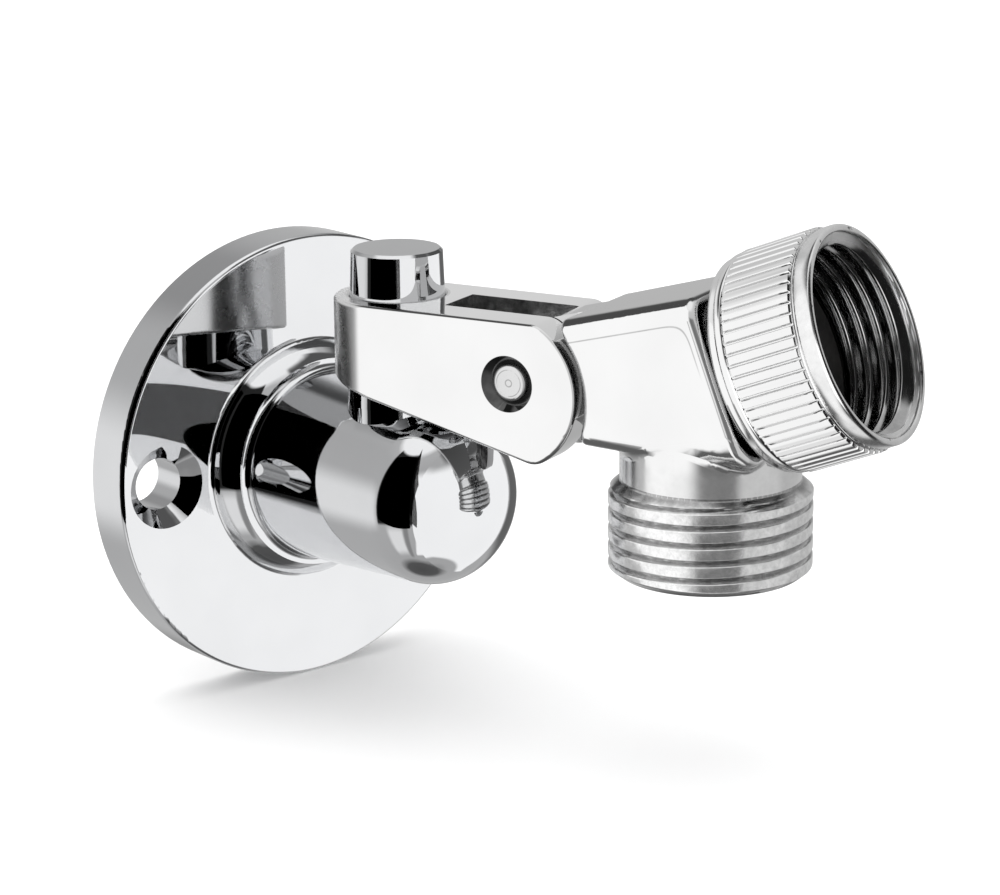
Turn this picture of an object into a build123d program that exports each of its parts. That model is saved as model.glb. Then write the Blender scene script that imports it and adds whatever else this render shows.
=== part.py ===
from build123d import *
import math
import os

os.makedirs("parts", exist_ok=True)

# Hand shower holder: a wall hook with an upright tapered pin, and a swivelling
# hose connector whose eye drops over that pin. Millimetres, +Z up.
# Origin: centre of the flange's back face. The wall is the plane y = 0 and the
# holder stands out from it along -Y.

# ---------------------------------------------------------------- wall hook
FLANGE_R = 25.0           # round wall plate
FLANGE_T = 6.0
FLANGE_FRONT_ROUND = 0.6
FLANGE_BACK_CHAMFER = 0.3
SCREW_X = 19.25           # wall screw holes at nine and three o'clock
SCREW_R = 2.85
SCREW_SINK_R = 4.6        # countersink at the front face
COLLAR_R = 13.45          # turned collar: radius on the flange face
COLLAR_H = 2.85           # ... and height at its crease
COLLAR_FOOT = 0.7         # concave fillet on the flange face
COLLAR_LEAN = 20.0        # slope of its side at the foot, degrees
PEG_R = 10.69             # tapered peg: radius at the crease ...
PEG_TAPER = 0.0723        # ... and loss per millimetre towards the nose
PEG_ROOT_FILLET = 1.0
NOSE_START_Y = 28.9       # where the nose begins, from the wall
NOSE_SHOULDER_R = 6.0     # rounded shoulder of the nose ...
NOSE_TURN = 52.0          # ... up to this slope, degrees, then a flatter dome
PEG_SPIGOT_R = 6.0        # spigot that enters the flange
PEG_SPIGOT_L = 4.0
PEG_TAP_R = 2.5           # tapped hole for the peg's screw
PEG_TAP_L = 10.5
PEG_SCREW_R = 2.46
PEG_SCREW_HEAD_R = 4.7
PEG_SCREW_HEAD_H = 2.1
PEG_SCREW_CLEAR = 2.75
PEG_SCREW_END_Y = 13.2
PIN_Y = 22.3              # axis of the upright pin, from the wall
PIN_TOP_Z = 26.15
PIN_TOP_R = 4.88
PIN_TAPER = 0.0374        # radius gained per millimetre down
PIN_TAPER_END_Z = 9.6
PIN_FOOT_Z = 2.1          # bottom of the pin's foot in the peg
PIN_HOLE_FLOOR_Z = 2.0
PIN_CLEAR = 0.03          # radial clearance of the foot in the peg
PIN_TOP_CHAMFER = 0.3

# ---------------------------------------------------------------- connector
# Connector frame: origin on the fork pivot, +X towards the coupling nut,
# +Y along the pivot, +Z up.
EYE_X = 17.1              # eye to pivot
EYE_END_X = 16.65         # centre of the rounded outside of the eye
ARM_W = 14.3              # width of eye and fork
ARM_TOP = 6.48            # flat top above the pivot
ARM_UNDER = 7.65          # underside below the pivot ...
ARM_UNDER_SLOPE = 0.245   # ... rising towards the eye
FORK_END_R = 8.2          # rounded end of the cheeks ...
FORK_END_C = (-0.3, -0.9) # ... and its centre, from the pivot
FORK_END_BLEND = 2.6
ARM_EDGE = 0.45           # edge rounding
EYE_CLEAR = 0.05          # radial clearance of the eye on the pin
EYE_CHAMFER = 0.25
SLOT_W = 5.86             # between the cheeks
SLOT_END = 9.6            # slot's closed end from the pivot
RIVET_R = 1.9
RIVET_RECESS = 0.4
RIVET_SINK_R = 2.95       # countersink in the cheek faces
RIVET_DIMPLE_R = 0.32
LUG_W = 5.6
LUG_R = 5.46
LUG_BORE_CLEAR = 0.05
WASHER_R = 4.2            # friction washers let into the lug's faces
WASHER_T = 0.8
WASHER_GAP = 0.03

BLOCK_HALF = 8.6          # half width at the fork ...
BLOCK_FLARE = 0.08        # ... growing towards the nut
BLOCK_TOP_Z = 5.65        # sloping top: height over the pivot ...
BLOCK_TOP_SLOPE = 0.265   # ... and rise per millimetre
BLOCK_UNDER_Z = -5.03     # underside ...
BLOCK_UNDER_FALL = 0.024  # ... and fall per millimetre
BLOCK_RELIEF_R = 10.2     # concave end around the fork ...
BLOCK_RELIEF_C = (-0.6, -0.9)  # ... and its centre, from the pivot
BLOCK_TOP_EDGE = 2.1      # edge rounding along the top
BLOCK_UNDER_EDGE = 1.6    # ... and along the underside,
BLOCK_UNDER_FROM = 17.0   # growing from here ...
BLOCK_UNDER_GROW = 0.24   # ... per millimetre towards the nut
BLOCK_END_EDGE = 0.9      # edge rounding at the nut end
BLOCK_RELIEF_EDGE = 0.6   # ... and at the fork end
STUB_X = 19.7             # hose stub, vertical
STUB_END_Z = -18.9
STUB_THREAD_TOP_Z = -9.1
THREAD_R = 10.478         # half of the 1/2 inch pipe thread's 20.955 mm
NECK_R = 9.3
NECK_BLEND = 1.2          # fillet between neck and block
STUB_BORE_R = 6.6
STUB_CHAMFER = 1.0
OUTLET_Z = 0.95           # where the nut's axis crosses the stub's
OUTLET_TILT = 21.4        # nut axis above the horizontal, degrees
OUTLET_BORE_R = 5.4
BLOCK_END_S = 5.72        # block's end face, along the nut's axis
SPIGOT_R = 8.3
SPIGOT_END_S = 8.55
GROOVE_R = 7.5
GROOVE_S0 = 7.7
GROOVE_S1 = 8.3

NUT_BACK_S = 6.42
NUT_L = 11.95
NUT_LIP_L = 1.2           # inward lip at the back
NUT_LIP_R = 8.38
NUT_BORE_R = 10.52        # over the female thread's root
NUT_THREAD_0 = 3.65       # where the female thread ends, from the nut's back
NUT_CHAMBER_R = 9.75      # plain chamber around the washer
NUT_BACK_R = 11.2
NUT_BAND_R = 11.42
NUT_KNURL_R = 11.55
NUT_KNURL_ROOT_R = 11.2
NUT_KNURL_N = 64
NUT_KNURL_0 = 1.95        # knurled band, from the nut's back
NUT_KNURL_1 = 9.75
NUT_FRONT_R = 11.3

RING_OUT_R = 9.2
RING_IN_R = 7.56
RING_T = 0.5
RING_GAP = 3.0
SEAL_OUT_R = 9.6
SEAL_IN_R = 5.8
SEAL_T = 1.4

# ---------------------------------------------------------------- rest pose
REST_SWING = 21.55        # connector turned from straight out, towards +X, degrees
PIVOT_Z = 14.75           # height of the fork pivot with the eye on the pin


def outline(start, *steps):
    """Closed face: a point adds a line, a pair of points an arc (through, end)."""
    edges = []
    here = start
    for step in steps:
        if isinstance(step[0], tuple):
            edges.append(ThreePointArc(here, step[0], step[1]))
            here = step[1]
        else:
            edges.append(Line(here, step))
            here = step
    if here != start:
        edges.append(Line(here, start))
    return make_face(edges)


def turned_y(face):
    """Turned about the Y axis: x of the face is the radius."""
    return revolve(face, Axis.Y)


def turned_z(face):
    """Turned about the Z axis: x of the face is the radius, y the height."""
    return revolve(Plane.XZ * face, Axis.Z)


def save(shape, name):
    shape.label = name
    export_step(shape, f"parts/{name}.step")


# ------------------------------------------------------------- mount_flange
crease_y = -(FLANGE_T + COLLAR_H)
peg_lean = math.atan(PEG_TAPER)
# Concave fillet at the peg's foot: radius at the crease and where it meets the taper.
collar_top_r = PEG_R + PEG_ROOT_FILLET * (1 / math.cos(peg_lean) - PEG_TAPER)
spigot_y = crease_y + PEG_SPIGOT_L
# Collar: concave foot on the face, then a side that leans in more and more up to the crease.
lean = math.radians(COLLAR_LEAN)
half = math.radians(45) + lean / 2
reach = COLLAR_FOOT / math.tan(half)
cut = COLLAR_FOOT * (1 / math.sin(half) - 1)
side_0 = (COLLAR_R - reach * math.sin(lean), -FLANGE_T - reach * math.cos(lean))
chord = math.hypot(side_0[0] - collar_top_r, side_0[1] - crease_y)
chord_lean = math.atan2(side_0[0] - collar_top_r, side_0[1] - crease_y)
bow = chord / 2 * math.tan((chord_lean - lean) / 2)
side_mid = (
    (side_0[0] + collar_top_r) / 2 + bow * math.cos(chord_lean),
    (side_0[1] + crease_y) / 2 - bow * math.sin(chord_lean),
)
q = FLANGE_FRONT_ROUND
k = q * (1 - math.sqrt(0.5))
flange_face = outline(
    (PEG_SCREW_HEAD_R, 0),
    (FLANGE_R - FLANGE_BACK_CHAMFER, 0),
    (FLANGE_R, -FLANGE_BACK_CHAMFER),
    (FLANGE_R, -FLANGE_T + q),
    ((FLANGE_R - k, -FLANGE_T + k), (FLANGE_R - q, -FLANGE_T)),
    (COLLAR_R + reach, -FLANGE_T),
    ((COLLAR_R + cut * math.cos(half), -FLANGE_T - cut * math.sin(half)), side_0),
    (side_mid, (collar_top_r, crease_y)),
    (PEG_SPIGOT_R, crease_y),
    (PEG_SPIGOT_R, spigot_y),
    (PEG_SCREW_CLEAR, spigot_y),
    (PEG_SCREW_CLEAR, -PEG_SCREW_HEAD_H + 0.1),
)
flange = turned_y(flange_face)
sink_depth = SCREW_SINK_R - SCREW_R
for side in (-1, 1):
    hole = turned_y(
        outline(
            (0, 1),
            (SCREW_R, 1),
            (SCREW_R, -FLANGE_T + sink_depth),
            (SCREW_SINK_R, -FLANGE_T),
            (SCREW_SINK_R, -FLANGE_T - 0.5),
            (0, -FLANGE_T - 0.5),
        )
    )
    flange -= Pos(side * SCREW_X, 0, 0) * hole
save(flange, "mount_flange")

# ---------------------------------------------------------------- hook_peg
f = PEG_ROOT_FILLET
half_turn = math.radians(45) + peg_lean / 2
foot_mid = (collar_top_r - f * math.sin(half_turn), crease_y - f + f * math.cos(half_turn))
foot_end = (collar_top_r - f * math.cos(peg_lean), crease_y - f + f * math.sin(peg_lean))
# Nose: round shoulder tangent to the taper, then a dome tangent to the shoulder.
nose_r = PEG_R - PEG_TAPER * (NOSE_START_Y + crease_y)
shoulder_c = (
    nose_r - NOSE_SHOULDER_R * math.cos(peg_lean),
    NOSE_START_Y - NOSE_SHOULDER_R * math.sin(peg_lean),
)


def shoulder(a):
    return (
        shoulder_c[0] + NOSE_SHOULDER_R * math.cos(a),
        -shoulder_c[1] - NOSE_SHOULDER_R * math.sin(a),
    )


nose_turn = math.radians(NOSE_TURN)
nose_edge = shoulder(nose_turn)
dome_r = nose_edge[0] / math.cos(nose_turn)
dome_c = nose_edge[1] + dome_r * math.sin(nose_turn)
dome_a = (math.pi / 2 + nose_turn) / 2
peg_face = outline(
    (PEG_TAP_R, spigot_y),
    (PEG_SPIGOT_R - 0.02, spigot_y),
    (PEG_SPIGOT_R - 0.02, crease_y),
    (collar_top_r, crease_y),
    (foot_mid, foot_end),
    (nose_r, -NOSE_START_Y),
    (shoulder((peg_lean + nose_turn) / 2), nose_edge),
    ((dome_r * math.cos(dome_a), dome_c - dome_r * math.sin(dome_a)), (0, dome_c - dome_r)),
    (0, spigot_y - PEG_TAP_L - 1.2),
    (PEG_TAP_R, spigot_y - PEG_TAP_L),
)
peg = turned_y(peg_face)
pin_foot_r = PIN_TOP_R + PIN_TAPER * (PIN_TOP_Z - PIN_TAPER_END_Z)
pin_hole = Pos(0, -PIN_Y, PIN_HOLE_FLOOR_Z) * Cylinder(
    pin_foot_r + PIN_CLEAR, 20, align=(Align.CENTER, Align.CENTER, Align.MIN)
)
peg -= pin_hole
save(peg, "hook_peg")

# --------------------------------------------------------------- peg_screw
screw = turned_y(
    outline(
        (0, -1.3),
        (1.6, -1.3),
        (1.9, -0.1),
        (PEG_SCREW_HEAD_R - 0.15, -0.1),
        (PEG_SCREW_R, -PEG_SCREW_HEAD_H - 0.04),
        (PEG_SCREW_R, -PEG_SCREW_END_Y + 0.5),
        (PEG_SCREW_R - 0.5, -PEG_SCREW_END_Y),
        (0, -PEG_SCREW_END_Y),
    )
)
save(screw, "peg_screw")

# ---------------------------------------------------------------- hook_pin
c = PIN_TOP_CHAMFER
pin = turned_z(
    outline(
        (0, PIN_FOOT_Z),
        (pin_foot_r - 0.5, PIN_FOOT_Z),
        (pin_foot_r, PIN_FOOT_Z + 0.5),
        (pin_foot_r, PIN_TAPER_END_Z),
        (PIN_TOP_R + PIN_TAPER * c, PIN_TOP_Z - c),
        (PIN_TOP_R - c, PIN_TOP_Z),
        (0, PIN_TOP_Z),
    )
)
save(Pos(0, -PIN_Y, 0) * pin, "hook_pin")

# -------------------------------------------------- placing the connector
turn = REST_SWING - 90.0
pivot = (
    EYE_X * math.cos(math.radians(turn)),
    -PIN_Y + EYE_X * math.sin(math.radians(turn)),
    PIVOT_Z,
)
AT = Location(pivot, (0, 0, turn))
# Outlet frame: +Z along the nut's axis, origin where it crosses the stub's.
OUTLET = Location((STUB_X, 0, OUTLET_Z), (0, 90.0 - OUTLET_TILT, 0))

# -------------------------------------------------------------- hanger_arm
left = -EYE_X - ARM_W
side_face = Plane.XZ * make_face(
    Polyline(
        (left, ARM_TOP),
        (20, ARM_TOP),
        (20, -ARM_UNDER - ARM_UNDER_SLOPE * 20),
        (left, -ARM_UNDER - ARM_UNDER_SLOPE * left),
        close=True,
    )
)
end_round = Plane.XZ * (
    Pos(left / 2 + FORK_END_C[0], 0) * Rectangle(-left, 60)
    + Pos(*FORK_END_C) * Circle(FORK_END_R)
)
side_profile = side_face & end_round
corners = [v for v in side_profile.vertices() if v.X > 2.0]
side_profile = fillet(corners, FORK_END_BLEND)
arm = extrude(side_profile, amount=ARM_W, both=True)
plan = Pos(-EYE_END_X / 2 + 10, 0) * Rectangle(EYE_END_X + 20, ARM_W) + Pos(
    -EYE_END_X, 0
) * Circle(ARM_W / 2)
arm &= extrude(plan, amount=40, both=True)
smooth = [
    e
    for e in arm.edges()
    if not (abs(e.center().X + EYE_END_X) < 0.05 and abs(abs(e.center().Y) - ARM_W / 2) < 0.05)
    and not (e.center().X > 0.5 and abs(e.center().Y) < 1.0)
]
arm = fillet(smooth, ARM_EDGE)
slot = Pos(-SLOT_END, 0, 0) * Box(
    60, SLOT_W, 60, align=(Align.MIN, Align.CENTER, Align.CENTER)
)
arm -= slot
eye_top_z = PIVOT_Z + ARM_TOP
eye_r = PIN_TOP_R + PIN_TAPER * (PIN_TOP_Z - eye_top_z) + EYE_CLEAR
eye = turned_z(
    outline(
        (0, ARM_TOP + 1),
        (eye_r + EYE_CHAMFER + 1, ARM_TOP + 1),
        (eye_r, ARM_TOP - EYE_CHAMFER),
        (eye_r + PIN_TAPER * 20, ARM_TOP - 20),
        (0, ARM_TOP - 20),
    )
)
arm -= Pos(-EYE_X, 0, 0) * eye
half = ARM_W / 2
sink = RIVET_SINK_R - RIVET_R
rivet_hole = turned_y(
    outline(
        (0, -half - 1),
        (RIVET_SINK_R + 1, -half - 1),
        (RIVET_R, -half + sink),
        (RIVET_R, half - sink),
        (RIVET_SINK_R + 1, half + 1),
        (0, half + 1),
    )
)
arm -= rivet_hole
save(AT * arm, "hanger_arm")

# --------------------------------------------------------------- pivot_pin
e = half - RIVET_RECESS
rivet = turned_y(
    outline(
        (0, -e + 0.3),
        (RIVET_DIMPLE_R, -e),
        (RIVET_R - 0.15, -e),
        (RIVET_R, -e + 0.15),
        (RIVET_R, e - 0.15),
        (RIVET_R - 0.15, e),
        (RIVET_DIMPLE_R, e),
        (0, e - 0.3),
    )
)
save(AT * rivet, "pivot_pin")

# ---------------------------------------------------- friction washers
inner = SLOT_W / 2 - WASHER_GAP
for name, s in (("friction_washer_a", -1), ("friction_washer_b", 1)):
    washer = turned_y(
        outline(
            (RIVET_R + 0.1, s * (inner - WASHER_T)),
            (WASHER_R - 0.06, s * (inner - WASHER_T)),
            (WASHER_R - 0.06, s * inner),
            (RIVET_R + 0.1, s * inner),
        )
    )
    save(AT * washer, name)

# ---------------------------------------------------------- connector_body
tilt = math.radians(OUTLET_TILT)
axis = (math.cos(tilt), math.sin(tilt))
up = (-axis[1], axis[0])
end_c = (STUB_X + BLOCK_END_S * axis[0], OUTLET_Z + BLOCK_END_S * axis[1])


def half_width(x):
    return BLOCK_HALF + BLOCK_FLARE * (x - 8.0)


def section(x):
    """Cross-section of the block: flat sides, rounded along the top and the underside."""
    w = half_width(x)
    top = BLOCK_TOP_Z + BLOCK_TOP_SLOPE * x
    low = BLOCK_UNDER_Z - BLOCK_UNDER_FALL * x
    t = BLOCK_TOP_EDGE
    r = BLOCK_UNDER_EDGE + BLOCK_UNDER_GROW * max(0.0, x - BLOCK_UNDER_FROM)
    q = 1 - math.sqrt(0.5)
    face = outline(
        (w - t, top),
        ((w - t * q, top - t * q), (w, top - t)),
        (w, low + r),
        ((w - r * q, low + r * q), (w - r, low)),
        (r - w, low),
        ((r * q - w, low + r * q), (-w, low + r)),
        (-w, top - t),
        ((t * q - w, top - t * q), (t - w, top)),
    )
    return Plane((x, 0, 0), x_dir=(0, 1, 0), z_dir=(1, 0, 0)) * face


before_end = OUTLET * (
    Pos(0, 0, BLOCK_END_S) * Box(80, 80, 80, align=(Align.CENTER, Align.CENTER, Align.MAX))
)
block = loft([section(3.0), section(BLOCK_UNDER_FROM)], ruled=True)
block += loft([section(BLOCK_UNDER_FROM), section(36.0)], ruled=True)
block &= before_end
end_edges = []
for e in block.edges():
    d = [
        (p.X - end_c[0]) * axis[0] + (p.Z - end_c[1]) * axis[1]
        for p in (e @ 0, e @ 0.5, e @ 1)
    ]
    if max(abs(v) for v in d) < 1e-3:
        end_edges.append(e)
block = fillet(end_edges, BLOCK_END_EDGE)
relief_at = Pos(BLOCK_RELIEF_C[0], 0, BLOCK_RELIEF_C[1])
body = block - relief_at * Rot(90, 0, 0) * Cylinder(BLOCK_RELIEF_R, 60)
rim = [
    e
    for e in body.edges()
    if all(
        abs(
            math.hypot(p.X - BLOCK_RELIEF_C[0], p.Z - BLOCK_RELIEF_C[1]) - BLOCK_RELIEF_R
        )
        < 1e-3
        for p in (e @ 0, e @ 0.5, e @ 1)
    )
]
body = fillet(rim, BLOCK_RELIEF_EDGE)

# Lug: round end about the pivot, tangent to the sloping top.
slope_a = math.atan(BLOCK_TOP_SLOPE)
tan_top = (-LUG_R * math.sin(slope_a), LUG_R * math.cos(slope_a))
lug_face = Plane.XZ * (
    Circle(LUG_R)
    + make_face(
        Polyline(
            tan_top,
            (14.0, BLOCK_TOP_Z + BLOCK_TOP_SLOPE * 14.0 - 0.05),
            (14.0, BLOCK_UNDER_Z + 0.15),
            (9.0, BLOCK_UNDER_Z + 0.15),
            (-LUG_R * math.sin(math.radians(-8)), -LUG_R * math.cos(math.radians(-8))),
            close=True,
        )
    )
)
lug = extrude(lug_face, amount=LUG_W / 2, both=True)
body += lug

neck = Pos(STUB_X, 0, STUB_THREAD_TOP_Z - 1) * Cylinder(
    NECK_R, OUTLET_Z + 1 - STUB_THREAD_TOP_Z, align=(Align.CENTER, Align.CENTER, Align.MIN)
)
body += neck & before_end
root = [
    e
    for e in body.edges()
    if all(
        abs(math.hypot(p.X - STUB_X, p.Y) - NECK_R) < 1e-3
        and STUB_THREAD_TOP_Z < p.Z < 0
        and (p.X - end_c[0]) * axis[0] + (p.Z - end_c[1]) * axis[1] < -0.05
        for p in (e @ 0.1, e @ 0.5, e @ 0.9)
    )
]
body = fillet(root, NECK_BLEND)
stub = turned_z(
    outline(
        (0, STUB_END_Z),
        (THREAD_R - STUB_CHAMFER, STUB_END_Z),
        (THREAD_R, STUB_END_Z + STUB_CHAMFER),
        (THREAD_R, STUB_THREAD_TOP_Z - 1.0),
        (NECK_R, STUB_THREAD_TOP_Z),
        (0, STUB_THREAD_TOP_Z),
    )
)
body += Pos(STUB_X, 0, 0) * stub
spigot = turned_z(
    outline(
        (0, 2.0),
        (SPIGOT_R, 2.0),
        (SPIGOT_R, GROOVE_S0),
        (GROOVE_R, GROOVE_S0),
        (GROOVE_R, GROOVE_S1),
        (SPIGOT_R, GROOVE_S1),
        (SPIGOT_R, SPIGOT_END_S - 0.2),
        (SPIGOT_R - 0.2, SPIGOT_END_S),
        (0, SPIGOT_END_S),
    )
)
body += OUTLET * spigot
# Waterway: up the stub and out along the nut's axis.
body -= Pos(STUB_X, 0, STUB_END_Z - 1) * Cylinder(
    STUB_BORE_R, OUTLET_Z + 1 - STUB_END_Z + 1.5, align=(Align.CENTER, Align.CENTER, Align.MIN)
)
body -= OUTLET * Cylinder(
    OUTLET_BORE_R, SPIGOT_END_S + 5, align=(Align.CENTER, Align.CENTER, Align.MIN)
)
# Pivot bore and the seats of the friction washers.
body -= Rot(90, 0, 0) * Cylinder(RIVET_R + LUG_BORE_CLEAR, 40)
for s in (-1, 1):
    seat = turned_y(
        outline(
            (0, s * (inner - WASHER_T)),
            (WASHER_R, s * (inner - WASHER_T)),
            (WASHER_R, s * 5.0),
            (0, s * 5.0),
        )
    )
    body -= seat & (Rot(90, 0, 0) * Cylinder(WASHER_R, 5.9))
save(AT * body, "connector_body")

# -------------------------------------------------------------- swivel_nut
b = NUT_BACK_S
nut = turned_z(
    outline(
        (NUT_LIP_R, b),
        (NUT_BACK_R - 0.5, b),
        (NUT_BACK_R, b + 0.5),
        (NUT_BACK_R, b + 1.0),
        (NUT_BAND_R - 0.1, b + 1.1),
        (NUT_BAND_R, b + 1.3),
        (NUT_BAND_R, b + NUT_KNURL_0 - 0.2),
        (NUT_KNURL_ROOT_R, b + NUT_KNURL_0),
        (NUT_KNURL_ROOT_R, b + NUT_KNURL_1),
        (NUT_KNURL_ROOT_R - 0.1, b + NUT_KNURL_1),
        (NUT_KNURL_ROOT_R - 0.1, b + NUT_KNURL_1 + 0.3),
        (NUT_FRONT_R, b + NUT_KNURL_1 + 0.45),
        (NUT_FRONT_R, b + NUT_L - 0.3),
        (NUT_FRONT_R - 0.3, b + NUT_L),
        (NUT_BORE_R + 0.35, b + NUT_L),
        (NUT_BORE_R, b + NUT_L - 0.5),
        (NUT_BORE_R, b + NUT_THREAD_0),
        (NUT_CHAMBER_R, b + NUT_THREAD_0),
        (NUT_CHAMBER_R, b + NUT_LIP_L),
        (NUT_LIP_R, b + NUT_LIP_L),
    )
)
teeth = []
step = 2 * math.pi / NUT_KNURL_N
for i in range(NUT_KNURL_N):
    for da, r in ((-0.5, NUT_KNURL_ROOT_R), (-0.34, NUT_KNURL_R), (0.34, NUT_KNURL_R)):
        a = (i + da) * step
        teeth.append((r * math.cos(a), r * math.sin(a)))
knurl = make_face(Polyline(*teeth, close=True)) - Circle(NUT_KNURL_ROOT_R - 0.3)
nut += Pos(0, 0, b + NUT_KNURL_0) * extrude(knurl, amount=NUT_KNURL_1 - NUT_KNURL_0)
save(AT * OUTLET * nut, "swivel_nut")

# ---------------------------------------------------------- retaining_ring
mid = (GROOVE_S0 + GROOVE_S1) / 2
ring = turned_z(
    outline(
        (RING_IN_R, mid - RING_T / 2),
        (RING_OUT_R, mid - RING_T / 2),
        (RING_OUT_R, mid + RING_T / 2),
        (RING_IN_R, mid + RING_T / 2),
    )
)
ring -= Pos(10, 0, mid) * Box(10, RING_GAP, 5)
save(AT * OUTLET * ring, "retaining_ring")

# ------------------------------------------------------------- hose_washer
seal = turned_z(
    outline(
        (SEAL_IN_R, SPIGOT_END_S),
        (SEAL_OUT_R - 0.2, SPIGOT_END_S),
        (SEAL_OUT_R, SPIGOT_END_S + 0.2),
        (SEAL_OUT_R, SPIGOT_END_S + SEAL_T - 0.2),
        (SEAL_OUT_R - 0.2, SPIGOT_END_S + SEAL_T),
        (SEAL_IN_R, SPIGOT_END_S + SEAL_T),
    )
)
save(AT * OUTLET * seal, "hose_washer")
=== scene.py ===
import math

import bmesh
import bpy
from mathutils import Matrix, Vector


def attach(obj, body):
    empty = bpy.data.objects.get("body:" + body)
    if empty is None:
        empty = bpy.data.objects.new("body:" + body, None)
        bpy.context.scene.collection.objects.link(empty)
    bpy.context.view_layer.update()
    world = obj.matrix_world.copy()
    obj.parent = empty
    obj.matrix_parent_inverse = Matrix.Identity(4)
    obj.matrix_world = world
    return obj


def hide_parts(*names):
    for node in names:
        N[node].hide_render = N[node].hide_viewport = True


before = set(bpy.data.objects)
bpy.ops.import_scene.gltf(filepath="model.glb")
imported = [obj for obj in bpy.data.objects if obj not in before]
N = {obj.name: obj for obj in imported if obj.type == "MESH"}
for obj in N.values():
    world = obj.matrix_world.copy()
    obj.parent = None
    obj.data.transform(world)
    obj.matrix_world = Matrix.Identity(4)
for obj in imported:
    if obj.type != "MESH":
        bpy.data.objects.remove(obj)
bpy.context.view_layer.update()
MM = 0.001

# ------------------------------------------------------------------ the frame's numbers
# Connector frame: origin on the fork pivot, +X towards the coupling nut, +Y along the pivot.
TURN = math.radians(21.55 - 90.0)
PIN_Y = -22.3
PIVOT = Vector((17.1 * math.cos(TURN), PIN_Y + 17.1 * math.sin(TURN), 14.75))
AT = Matrix.Translation(PIVOT * MM) @ Matrix.Rotation(TURN, 4, "Z") @ Matrix.Scale(MM, 4)
# Outlet frame: +Z along the nut's axis, origin where it crosses the stub's axis.
OUTLET = AT @ Matrix.Translation((19.7, 0, 0.95)) @ Matrix.Rotation(math.radians(90 - 21.4), 4, "Y")
STUB = AT @ Matrix.Translation((19.7, 0, 0))
ROW = Matrix.Scale(MM, 4)


# ------------------------------------------------------------------ mesh helpers
def new_piece(name, bm, place, body, angle=32.0, faced=False):
    """A mesh object in the row frame that rides on a body. faced: its faces already look the right way."""
    bm.transform(place)
    if not faced:
        bmesh.ops.recalc_face_normals(bm, faces=bm.faces)
    me = bpy.data.meshes.new(name)
    bm.to_mesh(me)
    bm.free()
    for p in me.polygons:
        p.use_smooth = True
    me.set_sharp_from_angle(angle=math.radians(angle))
    o = bpy.data.objects.new(name, me)
    bpy.context.scene.collection.objects.link(o)
    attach(o, body)
    return o


def lathe(profile, angles, radius=None, closed=True, bm=None):
    """Turned about Z. profile: (radius, height) points; radius(angle index, angle, r, z) can change a point."""
    bm = bm or bmesh.new()
    count = len(angles)
    rings = []
    for r, z in profile:
        ring = []
        for k, a in enumerate(angles):
            rr = radius(k, a, r, z) if radius else r
            ring.append(bm.verts.new((rr * math.cos(a), rr * math.sin(a), z)))
        rings.append(ring)
    n = len(rings)
    for i in range(n if closed else n - 1):
        a, b = rings[i], rings[(i + 1) % n]
        for k in range(count):
            m = (k + 1) % count
            bm.faces.new((a[k], a[m], b[m], b[k]))
    return bm


def even(count):
    return [2 * math.pi * k / count for k in range(count)]


def smooth(x, lo, hi):
    x = min(1.0, max(0.0, (x - lo) / (hi - lo)))
    return x * x * (3 - 2 * x)


def thread_form(phase):
    """Plated 55 degree thread, 0 at the root, 1 at the crest: narrow round root, broad flat land."""
    h = 1.0 - abs(2.0 * (phase % 1.0) - 1.0)
    return 0.94 * smooth(h, 0.0, 0.44) + 0.06 * math.sin(0.5 * math.pi * h)


def inner_form(phase):
    """Female thread, 0 at the root, 1 at the crest: broad round root, narrow round crest."""
    h = 1.0 - abs(2.0 * (phase % 1.0) - 1.0)
    return 0.35 * h + 0.65 * smooth(h, 0.0, 1.0) - 0.08 * smooth(h, 0.82, 1.0)


PITCH = 1.814

# ------------------------------------------------------------------ materials
def nodes_of(name):
    m = bpy.data.materials.new(name)
    m.use_nodes = True
    t = m.node_tree
    p = t.nodes["Principled BSDF"]
    return m, t, p


def noise(t, scale, detail=4.0, rough=0.5, coord="Object", stretch=None):
    c = t.nodes.new("ShaderNodeTexCoord")
    n = t.nodes.new("ShaderNodeTexNoise")
    n.inputs["Scale"].default_value = scale
    n.inputs["Detail"].default_value = detail
    n.inputs["Roughness"].default_value = rough
    if stretch:
        mp = t.nodes.new("ShaderNodeMapping")
        mp.inputs["Scale"].default_value = stretch
        t.links.new(c.outputs[coord], mp.inputs["Vector"])
        t.links.new(mp.outputs["Vector"], n.inputs["Vector"])
    else:
        t.links.new(c.outputs[coord], n.inputs["Vector"])
    return n.outputs["Fac"]


def ramp(t, fac, stops):
    r = t.nodes.new("ShaderNodeValToRGB")
    e = r.color_ramp.elements
    while len(e) < len(stops):
        e.new(0.5)
    for x, (pos, col) in zip(e, stops):
        x.position = pos
        c = (col, col, col) if isinstance(col, float) else col
        x.color = (*c, 1.0)
    t.links.new(fac, r.inputs["Fac"])
    return r.outputs["Color"]


def bump(t, p, height, strength, distance):
    b = t.nodes.new("ShaderNodeBump")
    b.inputs["Strength"].default_value = strength
    b.inputs["Distance"].default_value = distance
    t.links.new(height, b.inputs["Height"])
    t.links.new(b.outputs["Normal"], p.inputs["Normal"])


def chrome(name, tint_lo, tint_hi, rough_lo, rough_hi, wave, wave_scale):
    m, t, p = nodes_of(name)
    p.inputs["Metallic"].default_value = 1.0
    t.links.new(ramp(t, noise(t, 90.0, 5.0), [(0.3, tint_lo), (0.7, tint_hi)]), p.inputs["Base Color"])
    t.links.new(ramp(t, noise(t, 240.0, 6.0, 0.6), [(0.3, rough_lo), (0.75, rough_hi)]), p.inputs["Roughness"])
    bump(t, p, noise(t, wave_scale, 2.0), 1.0, wave)
    return m


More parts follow.
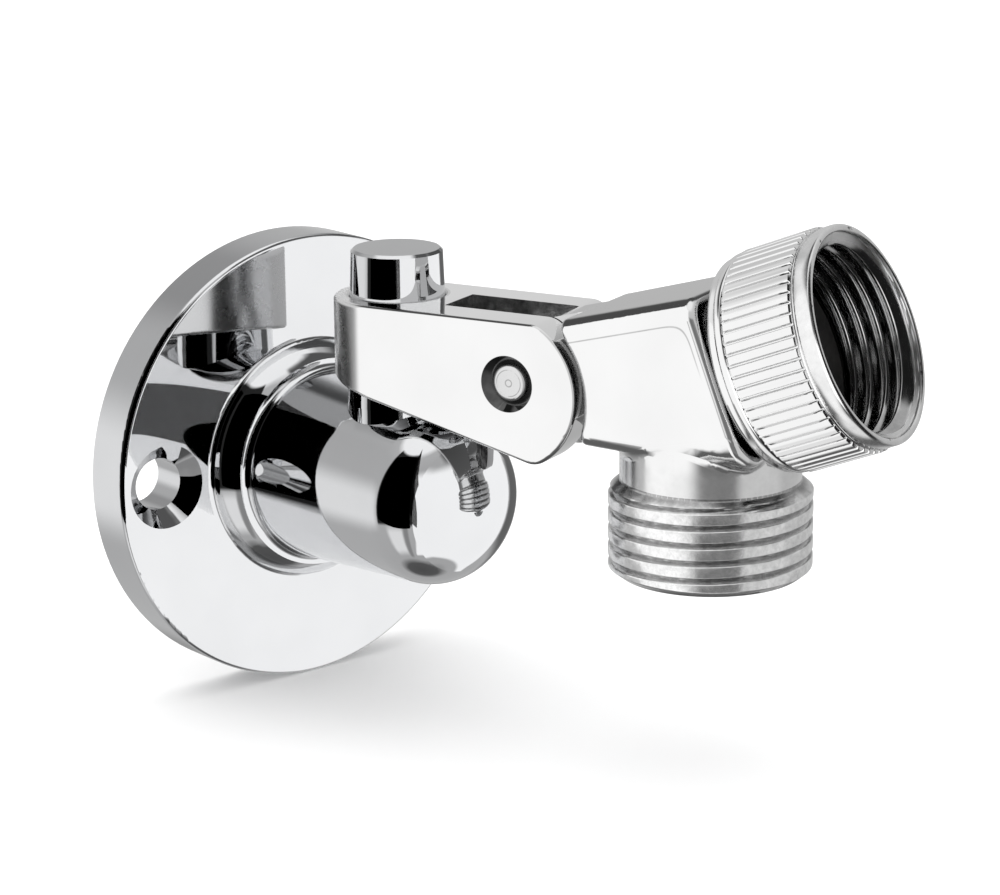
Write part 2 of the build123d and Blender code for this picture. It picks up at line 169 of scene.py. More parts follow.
hook_chrome = chrome("hook_chrome", (0.655, 0.66, 0.67), (0.69, 0.695, 0.705), 0.012, 0.035, 0.0000004, 60.0)


def maths(t, op, *ins, clamp=False):
    n = t.nodes.new("ShaderNodeMath")
    n.operation = op
    n.use_clamp = clamp
    for i, v in enumerate(ins):
        if isinstance(v, (int, float)):
            n.inputs[i].default_value = v
        else:
            t.links.new(v, n.inputs[i])
    return n.outputs[0]


def edge(t, v, at, soft):
    """0 below at, 1 above it, with a soft border."""
    n = t.nodes.new("ShaderNodeMapRange")
    n.interpolation_type = "SMOOTHSTEP"
    t.links.new(v, n.inputs["Value"])
    n.inputs["From Min"].default_value = at - soft
    n.inputs["From Max"].default_value = at + soft
    return n.outputs["Result"]


def vector(t, op, a, b=None):
    n = t.nodes.new("ShaderNodeVectorMath")
    n.operation = op
    for i, v in enumerate((a, b)):
        if v is None:
            continue
        if isinstance(v, (tuple, Vector)):
            n.inputs[i].default_value = tuple(v)
        else:
            t.links.new(v, n.inputs[i])
    return n.outputs["Value"] if op in ("LENGTH", "DOT_PRODUCT") else n.outputs["Vector"]


def from_point(t, point):
    """The shaded spot, fixed to the piece, from a point in the frame."""
    return vector(t, "SUBTRACT", t.nodes.new("ShaderNodeTexCoord").outputs["Object"], point)


def off_axis(t, point, direction):
    return vector(t, "LENGTH", vector(t, "CROSS_PRODUCT", from_point(t, point), direction))


def inside(t, v, at, soft):
    return maths(t, "SUBTRACT", 1.0, edge(t, v, at, soft))


def blend(t, fac, a, b):
    """a where fac is 0, b where it is 1; a and b are colour outputs."""
    n = t.nodes.new("ShaderNodeMix")
    n.data_type = "RGBA"
    t.links.new(fac, n.inputs["Factor"])
    t.links.new(a, n.inputs["A"])
    t.links.new(b, n.inputs["B"])
    return n.outputs["Result"]


EX = Vector((math.cos(TURN), math.sin(TURN), 0))
EY = Vector((-math.sin(TURN), math.cos(TURN), 0))


def arm_material():
    """Polished casting: dull eye bore, countersinks darkened by painted shade, rough cast slot darkened by painted
    shade.
    """
    m, t, p = nodes_of("arm_chrome")
    p.inputs["Metallic"].default_value = 1.0
    here = from_point(t, PIVOT * MM)
    along = vector(t, "DOT_PRODUCT", here, EX)
    across = maths(t, "ABSOLUTE", vector(t, "DOT_PRODUCT", here, EY))
    # the slot: rough cast inside, its colour darkened by painted shade
    slot = maths(t, "MULTIPLY", edge(t, along, -9.64 * MM, 0.02 * MM), inside(t, across, 2.96 * MM, 0.02 * MM))
    bore = inside(t, off_axis(t, Vector((0, PIN_Y, 0)) * MM, (0, 0, 1)), 5.62 * MM, 0.06 * MM)
    pivot = off_axis(t, PIVOT * MM, EY)
    # painted shade: mask of the countersinks round the rivet
    painted_sink_shade = maths(t, "MULTIPLY", inside(t, pivot, 2.97 * MM, 0.03 * MM), edge(t, across, 5.9 * MM, 0.05 * MM))
    grain = noise(t, 420.0, 6.0, 0.65)
    col = ramp(t, noise(t, 90.0, 5.0), [(0.3, (0.66, 0.66, 0.66)), (0.7, (0.70, 0.70, 0.70))])
    col = blend(t, bore, col, ramp(t, grain, [(0.3, (0.46, 0.46, 0.46)), (0.7, (0.66, 0.66, 0.66))]))
    # painted shade: near-black colour in the countersinks
    col = blend(t, painted_sink_shade, col, ramp(t, noise(t, 900.0, 3.0), [(0.3, (0.07, 0.07, 0.07)), (0.7, (0.12, 0.12, 0.12))]))
    # painted shade: dark colour in the rough cast slot, mottled like the casting
    col = blend(t, slot, col, ramp(t, noise(t, 300.0, 6.0, 0.7), [(0.34, (0.06, 0.06, 0.06)), (0.50, (0.22, 0.22, 0.22)), (0.66, (0.52, 0.52, 0.52))]))
    t.links.new(col, p.inputs["Base Color"])
    # the round end is brushed, the flat sides are polished
    rounding = inside(t, along, -18.2 * MM, 1.6 * MM)
    rough = ramp(t, noise(t, 240.0, 6.0, 0.6), [(0.3, 0.03), (0.75, 0.07)])
    rough = blend(t, rounding, rough, ramp(t, grain, [(0.3, 0.25), (0.7, 0.29)]))
    rough = blend(t, bore, rough, ramp(t, grain, [(0.3, 0.16), (0.7, 0.26)]))
    rough = blend(t, slot, rough, ramp(t, grain, [(0.3, 0.30), (0.7, 0.50)]))
    t.links.new(rough, p.inputs["Roughness"])
    bump(t, p, noise(t, 110.0, 2.0), 1.0, 0.0000015)
    return m


def elbow_material():
    """Polished block, satin neck."""
    m, t, p = nodes_of("elbow_chrome")
    p.inputs["Metallic"].default_value = 1.0
    height = t.nodes.new("ShaderNodeSeparateXYZ")
    t.links.new(from_point(t, PIVOT * MM), height.inputs[0])
    neck = inside(t, height.outputs["Z"], -5.9 * MM, 0.9 * MM)
    grain = noise(t, 420.0, 6.0, 0.65)
    here = from_point(t, PIVOT * MM)
    along = vector(t, "DOT_PRODUCT", here, EX)
    across = maths(t, "ABSOLUTE", vector(t, "DOT_PRODUCT", here, EY))
    # unpolished hollow that clears the fork; its near-black colour is painted shade
    hollow = inside(t, off_axis(t, (PIVOT - 0.6 * EX - Vector((0, 0, 0.9))) * MM, EY), 10.27 * MM, 0.04 * MM)
    hollow = maths(t, "MULTIPLY", hollow, edge(t, across, 3.1 * MM, 0.1 * MM))
    # painted shade: a dark line where the rounded top edge and the end rounding run into the flat side
    axis = (OUTLET.to_3x3() @ Vector((0, 0, 1))).normalized()
    end = maths(t, "SUBTRACT", 4.35 * MM, vector(t, "DOT_PRODUCT", from_point(t, OUTLET @ Vector((0, 0, 0))), axis))
    low = maths(t, "SUBTRACT", maths(t, "MULTIPLY_ADD", along, 0.265, 3.35 * MM), height.outputs["Z"])
    painted_crease_line = maths(t, "ABSOLUTE", maths(t, "SMOOTH_MIN", end, low, 3.0 * MM))
    painted_crease_line = maths(t, "MULTIPLY", inside(t, painted_crease_line, 0.07 * MM, 0.05 * MM), edge(t, across, 8.0 * MM, 0.1 * MM))
    painted_crease_line = maths(t, "MULTIPLY", painted_crease_line, edge(t, height.outputs["Z"], 4.6 * MM, 1.4 * MM))
    col = ramp(t, noise(t, 90.0, 5.0), [(0.3, (0.66, 0.66, 0.66)), (0.7, (0.70, 0.70, 0.70))])
    # painted shade along the crease on the block's side
    col = blend(t, painted_crease_line, col, ramp(t, grain, [(0.3, (0.36, 0.36, 0.36)), (0.7, (0.46, 0.46, 0.46))]))
    # painted shade: near-black colour in the hollow behind the fork
    col = blend(t, hollow, col, ramp(t, grain, [(0.3, (0.07, 0.07, 0.07)), (0.7, (0.16, 0.16, 0.16))]))
    col = blend(t, neck, col, ramp(t, grain, [(0.3, (0.62, 0.62, 0.62)), (0.7, (0.72, 0.72, 0.72))]))
    t.links.new(col, p.inputs["Base Color"])
    rough = ramp(t, noise(t, 240.0, 6.0, 0.6), [(0.3, 0.05), (0.75, 0.09)])
    rough = blend(t, hollow, rough, ramp(t, grain, [(0.3, 0.25), (0.7, 0.42)]))
    rough = blend(t, neck, rough, ramp(t, grain, [(0.3, 0.19), (0.7, 0.25)]))
    t.links.new(rough, p.inputs["Roughness"])
    bump(t, p, noise(t, 110.0, 2.0), 1.0, 0.0000015)
    return m


def nut_material():
    """Polished knurl, satin front lip nicked at its mouth, dull thread inside darkened by painted shade."""
    m, t, p = nodes_of("nut_chrome")
    p.inputs["Metallic"].default_value = 1.0
    origin = OUTLET @ Vector((0, 0, 0))
    axis = (OUTLET.to_3x3() @ Vector((0, 0, 1))).normalized()
    off = off_axis(t, origin, axis)
    along = vector(t, "DOT_PRODUCT", from_point(t, origin), axis)
    deep = inside(t, along, 17.45 * MM, 0.12 * MM)
    within = maths(t, "MULTIPLY", inside(t, off, 10.60 * MM, 0.04 * MM), deep)
    bevel = maths(t, "MULTIPLY", inside(t, off, 10.60 * MM, 0.04 * MM), maths(t, "SUBTRACT", 1.0, deep))
    lip = edge(t, along, 16.55 * MM, 0.1 * MM)
    mouth = maths(t, "MULTIPLY", edge(t, along, 18.15 * MM, 0.1 * MM), inside(t, off, 11.0 * MM, 0.12 * MM))
    nicks = maths(t, "MULTIPLY", mouth, edge(t, noise(t, 1100.0, 3.0, 0.6), 0.66, 0.03))
    grain = noise(t, 500.0, 6.0, 0.65)
    col = ramp(t, noise(t, 90.0, 5.0), [(0.3, (0.66, 0.66, 0.66)), (0.7, (0.70, 0.70, 0.70))])
    col = blend(t, lip, col, ramp(t, grain, [(0.3, (0.58, 0.58, 0.58)), (0.7, (0.73, 0.73, 0.73))]))
    # painted shade: darker colour inside the nut's thread
    col = blend(t, within, col, ramp(t, grain, [(0.3, (0.33, 0.33, 0.33)), (0.7, (0.47, 0.47, 0.47))]))
    col = blend(t, nicks, col, ramp(t, grain, [(0.3, (0.08, 0.08, 0.08)), (0.7, (0.16, 0.16, 0.16))]))
    t.links.new(col, p.inputs["Base Color"])
    rough = ramp(t, noise(t, 240.0, 6.0, 0.6), [(0.3, 0.04), (0.75, 0.08)])
    rough = blend(t, lip, rough, ramp(t, grain, [(0.3, 0.13), (0.7, 0.24)]))
    rough = blend(t, within, rough, ramp(t, grain, [(0.3, 0.09), (0.7, 0.16)]))
    rough = blend(t, bevel, rough, ramp(t, grain, [(0.3, 0.30), (0.7, 0.46)]))
    t.links.new(rough, p.inputs["Roughness"])
    bump(t, p, noise(t, 110.0, 2.0), 1.0, 0.0000015)
    return m


def thread_material():
    """Satin male thread: bright gritty crests, roots darkened by painted shade."""
    m, t, p = nodes_of("satin_chrome")
    p.inputs["Metallic"].default_value = 1.0
    # painted shade: mask of the thread's roots
    root = inside(t, off_axis(t, STUB @ Vector((0, 0, 0)), (0, 0, 1)), 9.85 * MM, 0.40 * MM)
    grain = noise(t, 1300.0, 5.0, 0.7)
    col = ramp(t, grain, [(0.34, (0.62, 0.62, 0.62)), (0.66, (0.80, 0.80, 0.80))])
    # painted shade: darker colour in the roots
    col = blend(t, root, col, ramp(t, grain, [(0.34, (0.26, 0.26, 0.26)), (0.66, (0.40, 0.40, 0.40))]))
    t.links.new(col, p.inputs["Base Color"])
    t.links.new(ramp(t, noise(t, 700.0, 6.0, 0.6), [(0.3, 0.16), (0.75, 0.25)]), p.inputs["Roughness"])
    bump(t, p, noise(t, 1500.0, 3.0, 0.6), 1.0, 0.000010)
    return m


satin_chrome = thread_material()
arm_chrome = arm_material()
nut_chrome = nut_material()
elbow_chrome = elbow_material()


def rivet_material():
    """Dull rivet: painted shade in the punched ring of each end, and a worn darker ring further out."""
    m, t, p = nodes_of("rivet_steel")
    p.inputs["Metallic"].default_value = 1.0
    off = off_axis(t, PIVOT * MM, EY)
    # painted shade: mask of the punched ring's groove
    punch = inside(t, maths(t, "ABSOLUTE", maths(t, "SUBTRACT", off, 0.36 * MM)), 0.06 * MM, 0.05 * MM)
    ring = inside(t, maths(t, "ABSOLUTE", maths(t, "SUBTRACT", off, 1.38 * MM)), 0.04 * MM, 0.05 * MM)
    worn = maths(t, "MULTIPLY", ring, edge(t, noise(t, 620.0, 3.0, 0.6), 0.44, 0.10))
    grain = noise(t, 700.0, 5.0, 0.6)
    col = ramp(t, noise(t, 90.0, 5.0), [(0.3, (0.50, 0.50, 0.50)), (0.7, (0.60, 0.60, 0.60))])
    # painted shade in the punched ring
    col = blend(t, punch, col, ramp(t, grain, [(0.3, (0.26, 0.26, 0.26)), (0.7, (0.36, 0.36, 0.36))]))
    col = blend(t, worn, col, ramp(t, grain, [(0.3, (0.20, 0.20, 0.20)), (0.7, (0.30, 0.30, 0.30))]))
    t.links.new(col, p.inputs["Base Color"])
    t.links.new(ramp(t, noise(t, 240.0, 6.0, 0.6), [(0.3, 0.10), (0.75, 0.20)]), p.inputs["Roughness"])
    bump(t, p, noise(t, 700.0, 2.0), 1.0, 0.000004)
    return m


rivet_steel = rivet_material()


def plain(name, lo, hi, rough_lo, rough_hi, metallic=0.0, scale=300.0, height=0.00002):
    m, t, p = nodes_of(name)
    p.inputs["Metallic"].default_value = metallic
    f = noise(t, scale, 5.0, 0.6)
    t.links.new(ramp(t, f, [(0.3, lo), (0.7, hi)]), p.inputs["Base Color"])
    t.links.new(ramp(t, noise(t, scale * 2.3, 4.0), [(0.3, rough_lo), (0.7, rough_hi)]), p.inputs["Roughness"])
    bump(t, p, f, 0.4, height)
    return m


rubber = plain("seal_rubber", (0.010, 0.010, 0.010), (0.024, 0.023, 0.022), 0.55, 0.75)
acetal = plain("washer_plastic", (0.03, 0.03, 0.032), (0.05, 0.05, 0.052), 0.35, 0.5)
zinc = plain("screw_steel", (0.50, 0.50, 0.48), (0.66, 0.66, 0.63), 0.22, 0.36, 1.0)
brass = plain("ring_brass", (0.60, 0.43, 0.18), (0.78, 0.58, 0.28), 0.2, 0.32, 1.0)


def paint(obj, mat):
    obj.data.materials.clear()
    obj.data.materials.append(mat)


# ------------------------------------------------------------------ elbow with its hose thread
# The casting as it is, with the plain stub taken off and a threaded one in its place.
src = N["connector_body"].data
axis_xy = STUB @ Vector((0, 0, 0))
top_z = (STUB @ Vector((0, 0, -9.1))).z + 2e-6
keep_faces, keep_normals, used, verts = [], [], {}, []
normals = [c.vector.copy() for c in src.corner_normals]
for poly in src.polygons:
    pts = [src.vertices[i].co for i in poly.vertices]
    rad = max(math.hypot(q.x - axis_xy.x, q.y - axis_xy.y) for q in pts)
    if max(q.z for q in pts) <= top_z and rad > 6.7 * MM:
        continue
    face = []
    for i in poly.vertices:
        if i not in used:
            used[i] = len(verts)
            verts.append(src.vertices[i].co.copy())
        face.append(used[i])
    keep_faces.append(face)
    keep_normals += [normals[i] for i in poly.loop_indices]
me = bpy.data.meshes.new("elbow")
me.from_pydata([tuple(v) for v in verts], [], keep_faces)
for q in me.polygons:
    q.use_smooth = True
me.normals_split_custom_set([tuple(n) for n in keep_normals])
elbow = bpy.data.objects.new("elbow", me)
bpy.context.scene.collection.objects.link(elbow)
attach(elbow, "connector")
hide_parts("connector_body")

# Male hose thread: crest 20.955 mm, pitch 1.814 mm.
CREST, ROOT, STUB_END, STUB_TOP = 10.478, 9.72, -18.9, -9.1


def male(k, a, r, z):
    if r < 9.0 or z < STUB_END + 1e-6 and r < 9.45:
        return r
    form = ROOT + (CREST - ROOT) * thread_form(z / PITCH - a / (2 * math.pi) + 0.2)
    lead = CREST - 1.0 + (z - STUB_END) * 1.35
    fade = 9.3 + (STUB_TOP - z) * 1.15
    return max(9.3, min(form, lead, fade)) if z < STUB_TOP - 1e-6 else 9.3


rows = 150
profile = [(9.3, STUB_TOP + 0.25)]
profile += [(CREST, STUB_TOP + (STUB_END - STUB_TOP) * i / rows) for i in range(rows + 1)]
profile += [(9.30, STUB_END), (7.0, STUB_END), (6.6, STUB_END + 0.25)]
stub = new_piece("hose_thread", lathe(profile, even(288), male, closed=False), STUB, "connector", 50.0)

# ------------------------------------------------------------------ coupling nut
BACK, NUT_L, KN0, KN1 = 6.42, 11.93, 1.95, 9.75
KN_TOP, KN_ROOT, RIDGES = 11.55, 11.24, 64
ridge = [(-0.50, 0.0), (-0.45, 0.03), (-0.41, 0.25), (-0.37, 0.78), (-0.33, 0.96), (-0.26, 1.0),
         (0.0, 1.0), (0.26, 1.0), (0.33, 0.96), (0.37, 0.78), (0.41, 0.25), (0.45, 0.03)]
knurl_angles = [(i + f) * 2 * math.pi / RIDGES for i in range(RIDGES) for f, _ in ridge]
knurl_height = [h for _ in range(RIDGES) for _, h in ridge]
BORE, MINOR, TH0 = 10.52, 9.36, 3.65


def nut_radius(k, a, r, z):
    s = z - BACK
    if r > 11.0 and KN0 - 1e-6 < s < KN1 + 1e-6:
        ends = min(smooth(s, KN0, KN0 + 0.22), smooth(-s, -KN1, -KN1 + 0.16))
        return KN_ROOT + (KN_TOP - KN_ROOT) * knurl_height[k] * ends
    if abs(r - BORE) < 1e-6 and TH0 - 1e-6 <= s <= NUT_L - 0.2:
        form = BORE - (BORE - MINOR) * inner_form(z / PITCH - a / (2 * math.pi) + 0.55)
        mouth = BORE - max(0.0, NUT_L - 0.42 - s) * 1.5
        relief = 9.75 + (TH0 + 0.55 - s) * 1.6
        return min(BORE, max(form, mouth, min(relief, 9.75)))
    return r


outer = [(8.38, 0.0), (10.62, 0.0), (10.86, 0.05), (11.05, 0.16), (11.16, 0.34), (11.2, 0.55), (11.2, 0.94), (11.22, 1.0),
         (11.33, 1.10), (11.40, 1.20), (11.42, 1.32), (11.42, 1.70), (11.38, 1.82), (11.30, 1.90)]
outer += [(11.3, KN0), (11.3, KN0 + 0.07), (11.3, KN0 + 0.14), (11.3, KN0 + 0.22)]
outer += [(11.3, KN0 + 0.22 + (KN1 - KN0 - 0.38) * i / 6) for i in range(1, 7)]
outer += [(11.3, KN1 - 0.10), (11.3, KN1 - 0.05), (11.3, KN1)]
outer += [(11.12, KN1 + 0.02), (11.08, KN1 + 0.08), (11.08, KN1 + 0.24), (11.14, KN1 + 0.32), (11.25, KN1 + 0.37), (11.3, KN1 + 0.46),
          (11.3, NUT_L - 0.42), (11.27, NUT_L - 0.24), (11.19, NUT_L - 0.10), (11.06, NUT_L - 0.02), (10.92, NUT_L), (10.72, NUT_L - 0.01),
          (10.60, NUT_L - 0.08), (10.53, NUT_L - 0.2)]
chamber = [(9.75, TH0 - 0.01), (9.75, 1.22), (8.5, 1.2), (8.38, 1.08), (8.38, 0.12)]
profile = [(r, BACK + s) for r, s in chamber + outer]
bm = lathe(profile, knurl_angles, nut_radius, closed=False)
bmesh.ops.recalc_face_normals(bm, faces=bm.faces)
# Female thread: its mesh runs along the helix, so each crest is one smooth line.
LO, HI, STEPS, ACROSS = BACK + TH0, BACK + NUT_L - 0.2, 288, 20
start = PITCH * (math.floor(LO / PITCH + 0.55) - 1.55)
columns = []
for c in range(STEPS * math.ceil((HI - start) / PITCH) + 1):
    a = 2 * math.pi * c / STEPS
    column = []
    for j in range(ACROSS + 1):
        z = min(HI, max(LO, start + PITCH * (c / STEPS + j / ACROSS)))
        r = nut_radius(0, a, BORE, z)
        column.append(bm.verts.new((r * math.cos(a), r * math.sin(a), z)))
    columns.append(column)
for f, g in zip(columns, columns[1:]):
    for j in range(ACROSS):
        quad = (f[j], f[j + 1], g[j + 1], g[j])
        heights = [v.co.z for v in quad]
        if max(heights) - min(heights) > 1e-6:
            bm.faces.new(quad)
bmesh.ops.delete(bm, geom=[v for v in bm.verts if not v.link_faces], context="VERTS")
bmesh.ops.remove_doubles(bm, verts=bm.verts, dist=1e-4)
nut = new_piece("knurled_nut", bm, OUTLET, "nut", 38.0, True)
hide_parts("swivel_nut")

# ------------------------------------------------------------------ rivet with a punched ring in each end
E = 14.3 / 2 - 0.4
half_rivet = [(0.0, E - 0.006), (0.24, E - 0.006), (0.33, E - 0.022), (0.40, E - 0.022), (0.50, E), (1.42, E - 0.004), (1.58, E - 0.02), (1.72, E - 0.06),
              (1.83, E - 0.13), (1.89, E - 0.22), (1.9, E - 0.34)]
profile = half_rivet + [(r, -z) for r, z in reversed(half_rivet)]
bm = lathe(profile, even(96), closed=False)
bmesh.ops.remove_doubles(bm, verts=bm.verts, dist=1e-5)
rivet = new_piece("rivet", bm, AT @ Matrix.Rotation(math.radians(-90), 4, "X"), "arm", 40.0)
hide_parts("pivot_pin")

for n in ("mount_flange", "hook_peg", "hook_pin"):
    paint(N[n], hook_chrome)
paint(N["hanger_arm"], arm_chrome)
paint(elbow, elbow_chrome)
paint(nut, nut_chrome)
paint(rivet, rivet_steel)
paint(stub, satin_chrome)
paint(N["peg_screw"], zinc)
paint(N["retaining_ring"], brass)
paint(N["hose_washer"], rubber)
paint(N["friction_washer_a"], acetal)
paint(N["friction_washer_b"], acetal)

# ------------------------------------------------------------------ camera
AZ, EL, ROLL = math.radians(-39.1), math.radians(15.0), math.radians(0.6)
back = Vector((math.sin(AZ) * math.cos(EL), -math.cos(AZ) * math.cos(EL), math.sin(EL)))
right = Vector((math.cos(AZ), math.sin(AZ), 0))
ahead = Vector((-math.sin(AZ), math.cos(AZ), 0))
target = Vector((0.0075, -0.030, 0.0045))
cam = bpy.data.cameras.new("camera")
cam.sensor_width = 36.0
cam.lens = 118.0
cam.clip_start, cam.clip_end = 0.01, 50.0
cam_o = bpy.data.objects.new("camera", cam)
bpy.context.scene.collection.objects.link(cam_o)
cam_o.location = target + back * 0.350
cam_o.rotation_mode = "QUATERNION"
cam_o.rotation_quaternion = (-back).to_track_quat("-Z", "Y")
cam_o.matrix_world = cam_o.matrix_basis @ Matrix.Rotation(-ROLL, 4, "Z")
bpy.context.scene.camera = cam_o

# ------------------------------------------------------------------ studio
# Soft surrounds, each for some of the pieces, with soft boxes and dark screens.
# Directions: azimuth 0 straight ahead of the camera, 90 to its right, 180 behind it; elevation up.
def surround(name, radius, pieces, base, regions, see_through):
    bm = bmesh.new()
    bmesh.ops.create_uvsphere(bm, u_segments=48, v_segments=24, radius=radius)
    me = bpy.data.meshes.new(name)
    bm.to_mesh(me)
    bm.free()
    o = bpy.data.objects.new(name, me)
    bpy.context.scene.collection.objects.link(o)
    turn = Matrix((right, ahead, Vector((0, 0, 1)))).transposed().to_4x4()
    o.matrix_world = Matrix.Translation((0.004, -0.034, 0.005)) @ turn
    m = bpy.data.materials.new(name)
    m.use_nodes = True
    t = m.node_tree
    t.nodes.remove(t.nodes["Principled BSDF"])
    c = t.nodes.new("ShaderNodeTexCoord")
    u = t.nodes.new("ShaderNodeVectorMath")
    u.operation = "NORMALIZE"
    t.links.new(c.outputs["Object"], u.inputs[0])
    x = t.nodes.new("ShaderNodeSeparateXYZ")
    t.links.new(u.outputs["Vector"], x.inputs[0])
    az = maths(t, "MULTIPLY", maths(t, "ARCTAN2", x.outputs["X"], x.outputs["Y"]), 180 / math.pi)
    az360 = maths(t, "WRAP", az, 360.0, 0.0)
    el = maths(t, "MULTIPLY", maths(t, "ARCSINE", x.outputs["Z"]), 180 / math.pi)
    level = ramp(t, maths(t, "MULTIPLY_ADD", el, 1 / 180.0, 0.5), [((e + 90.0) / 180.0, v) for e, v in base])
    for value, (a0, a1), (e0, e1), soft in regions:
        a = az if a0 < 0 else az360
        s0, s1, s2, s3 = soft if isinstance(soft, tuple) else (soft,) * 4
        mask = maths(t, "MULTIPLY", edge(t, a, a0, s0), maths(t, "SUBTRACT", 1.0, edge(t, a, a1, s1)))
        mask = maths(t, "MULTIPLY", mask, edge(t, el, e0, s2))
        mask = maths(t, "MULTIPLY", mask, maths(t, "SUBTRACT", 1.0, edge(t, el, e1, s3)))
        n = t.nodes.new("ShaderNodeMix")
        n.data_type = "RGBA"
        t.links.new(mask, n.inputs["Factor"])
        t.links.new(level, n.inputs["A"])
        n.inputs["B"].default_value = (value, value, value, 1)
        level = n.outputs["Result"]
    e = t.nodes.new("ShaderNodeEmission")
    t.links.new(level, e.inputs["Color"])
    e.inputs["Strength"].default_value = 2.0
    out = e.outputs[0]
    if see_through:
        add = t.nodes.new("ShaderNodeAddShader")
        tr = t.nodes.new("ShaderNodeBsdfTransparent")
        t.links.new(out, add.inputs[0])
        t.links.new(tr.outputs[0], add.inputs[1])
        out = add.outputs[0]
    t.links.new(out, t.nodes["Material Output"].inputs["Surface"])
    m.cycles.emission_sampling = "NONE"
    me.materials.append(m)
    only_reflected(o)
    lit_for(o, pieces)
    return o


def only_reflected(o):
    o.visible_camera = False
    o.visible_diffuse = False
    o.visible_shadow = False


def lit_for(o, pieces):
    group = bpy.data.collections.new(o.name + "_on")
    for q in pieces:
        group.objects.link(q)
    o.light_linking.receiver_collection = group


hook_set = [N[n] for n in ("mount_flange", "hook_peg", "hook_pin", "peg_screw")]
arm_set = [N["hanger_arm"], rivet]
nut_set = [nut] + [N[n] for n in ("hose_washer", "retaining_ring")]
conn_set = [elbow, stub] + [N[n] for n in ("friction_washer_a", "friction_washer_b")]

W = 0.68
surround("arm_surround", 1.8, arm_set,
         [(-90, 0.04), (-50, 0.08), (-30, 0.28), (0, 0.38), (20, 0.42), (50, 0.42), (68, 0.52), (90, 0.55)],
         [(0.14, (-92, -16), (-40, 6), (8.0, 8.0, 10.0, 6.0)),
          (W, (200, 262), (-28, 44), (12.0, 6.0, 10.0, 3.0)),
          (0.05, (-108, 2), (46, 70), (3.0, 16.0, 7.0, 3.0))], True)
surround("connector_surround", 2.0, conn_set,
         [(-90, 0.55), (-76, 0.55), (-66, 0.07), (-50, 0.08), (-30, 0.30), (-2, 0.33), (50, 0.40), (68, 0.60)],
         [(0.40, (88, 149), (-44, 10), (6.0, 1.5, 10.0, 4.0)),
          (0.12, (149, 205), (-44, 20), (1.5, 12.0, 10.0, 8.0)),
          (W, (205, 266), (-28, 60), (12.0, 4.0, 10.0, 3.0)),
          (0.262, (-24, 30), (-8, 9), (8.0, 8.0, 3.0, 3.0)),
          (0.045, (-64, 40), (15, 62), (1.5, 10.0, 13.0, 6.0)),
          (W, (255, 297), (3, 60), (3.0, 1.5, 4.0, 6.0)),
          (W, (207, 254), (-82, -20), (10.0, 8.0, 6.0, 8.0)),
          (0.34, (176, 262), (-9.0, -4.0), (6.0, 6.0, 1.2, 1.8))], True)
surround("nut_surround", 2.1, nut_set,
         [(-90, 0.55), (-76, 0.55), (-66, 0.07), (-50, 0.08), (-30, 0.30), (0, 0.32), (50, 0.42), (68, 0.60)],
         [(W, (205, 266), (-28, 44), (12.0, 4.0, 10.0, 3.0)),
          (W, (207, 254), (-82, -20), (10.0, 8.0, 6.0, 8.0)),
          (W, (262, 284), (2, 42), (3.0, 7.0, 5.0, 4.0)),
          (0.58, (-86, -42), (24, 42), (5.0, 9.0, 6.0, 4.0)),
          (0.05, (-108, 2), (46, 70), (3.0, 16.0, 5.0, 3.0)),
          (0.06, (150, 205), (24, 84), (4.0, 6.0, 8.0, 4.0)),
          (1.0, (154, 204), (-46, 20), (2.0, 8.0, 6.0, 8.0)),
          (0.012, (80, 151), (-54, 86), (5.0, 2.0, 6.0, 3.0))], True)
surround("hook_surround", 2.2, hook_set,
         [(-90, 0.05), (-76, 0.06), (-68, 0.26), (0, 0.29), (40, 0.27), (56, 0.30), (64, 0.60), (90, 0.62)],
         [(0.26, (-18, 18), (4, 26), 6.0),
          (0.50, (-100, -64), (-26, 9), (9.0, 5.0, 8.0, 10.0)),
          (0.19, (-52, -14), (18, 54), 9.0),
          (0.17, (-20, 10), (-34, -14), 8.0),
          (0.05, (24, 80), (10, 48), 6.0),
          (0.63, (50, 180), (-62, 33), (1.6, 1.6, 1.6, 5.0)),
          (0.06, (60, 132), (38, 67), 5.0),
          (0.08, (14, 47), (-36, 14), (6.0, 3.0, 6.0, 5.0)),
          (0.16, (190, 200), (-66, -22), 3.0),
          (0.50, (203, 236), (-60, -28), (3.0, 6.0, 6.0, 6.0)),
          (0.012, (180, 256), (-24, 62), 2.0)], False)


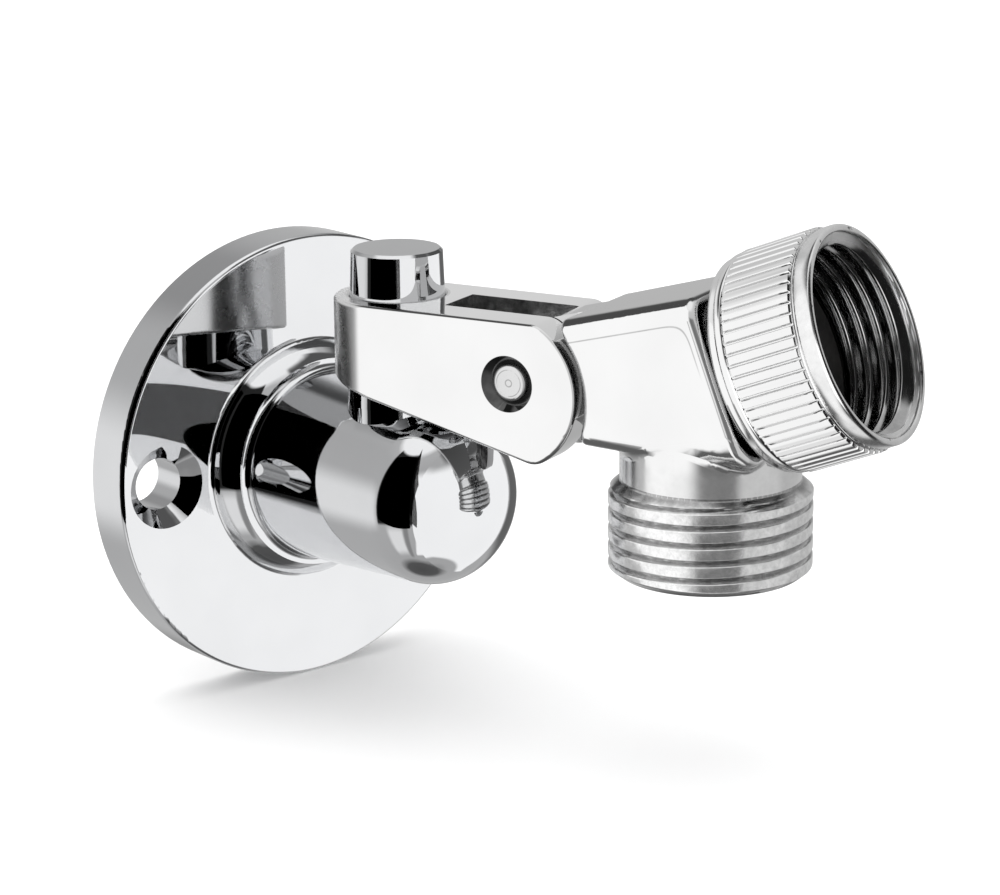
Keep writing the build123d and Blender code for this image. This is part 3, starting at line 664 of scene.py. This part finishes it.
def card(name, corners, strength, pieces, leak=0.0):
    me = bpy.data.meshes.new(name)
    me.from_pydata([tuple(c) for c in corners], [], [tuple(range(len(corners)))])
    o = bpy.data.objects.new(name, me)
    bpy.context.scene.collection.objects.link(o)
    m = bpy.data.materials.new(name)
    m.use_nodes = True
    t = m.node_tree
    t.nodes.remove(t.nodes["Principled BSDF"])
    e = t.nodes.new("ShaderNodeEmission")
    e.inputs["Strength"].default_value = strength
    out = e.outputs[0]
    if leak:
        add = t.nodes.new("ShaderNodeAddShader")
        tr = t.nodes.new("ShaderNodeBsdfTransparent")
        tr.inputs["Color"].default_value = (leak, leak, leak, 1)
        t.links.new(out, add.inputs[0])
        t.links.new(tr.outputs[0], add.inputs[1])
        out = add.outputs[0]
    t.links.new(out, t.nodes["Material Output"].inputs["Surface"])
    m.cycles.emission_sampling = "NONE"
    me.materials.append(m)
    only_reflected(o)
    lit_for(o, pieces)
    return o


# A screen close to the hook: dark towards the hook, bright towards the connector.
card("near_screen", [(-0.033, -0.060, -0.020), (-0.064, -0.0074, -0.020), (-0.064, -0.0074, 0.085), (-0.033, -0.060, 0.070)], 2 * W, conn_set + nut_set + arm_set)
card("front_screen", [(-0.0335, -0.0605, -0.006), (-0.0120, -0.0420, -0.006), (-0.0120, -0.0420, 0.045), (-0.0335, -0.0605, 0.070)], 1.76 * W, conn_set + nut_set + arm_set, 0.12)

FLOOR = -0.0251
me = bpy.data.meshes.new("floor")
s = 6.0
me.from_pydata([(-s, -s, FLOOR), (s, -s, FLOOR), (s, s, FLOOR), (-s, s, FLOOR)], [], [(0, 1, 2, 3)])
floor = bpy.data.objects.new("floor", me)
bpy.context.scene.collection.objects.link(floor)
m, t, p = nodes_of("floor")
t.links.new(ramp(t, noise(t, 3.0, 2.0), [(0.3, (0.90, 0.90, 0.90)), (0.7, (0.92, 0.92, 0.92))]), p.inputs["Base Color"])
p.inputs["Roughness"].default_value = 0.9
me.materials.append(m)
floor.visible_glossy = False

world = bpy.data.worlds.new("world")
bpy.context.scene.world = world
world.use_nodes = True
world.node_tree.nodes["Background"].inputs["Color"].default_value = (0.95, 0.95, 0.95, 1)
world.node_tree.nodes["Background"].inputs["Strength"].default_value = 1.35

key = bpy.data.lights.new("key", "AREA")
key.shape = "RECTANGLE"
key.size, key.size_y = 3.0, 3.0
key.energy = 22.0
key_o = bpy.data.objects.new("key", key)
bpy.context.scene.collection.objects.link(key_o)
key_o.location = (0.2, 0.3, 2.2)
key_o.visible_camera = False
key_o.visible_glossy = False

bpy.context.scene.view_settings.view_transform = "Standard"
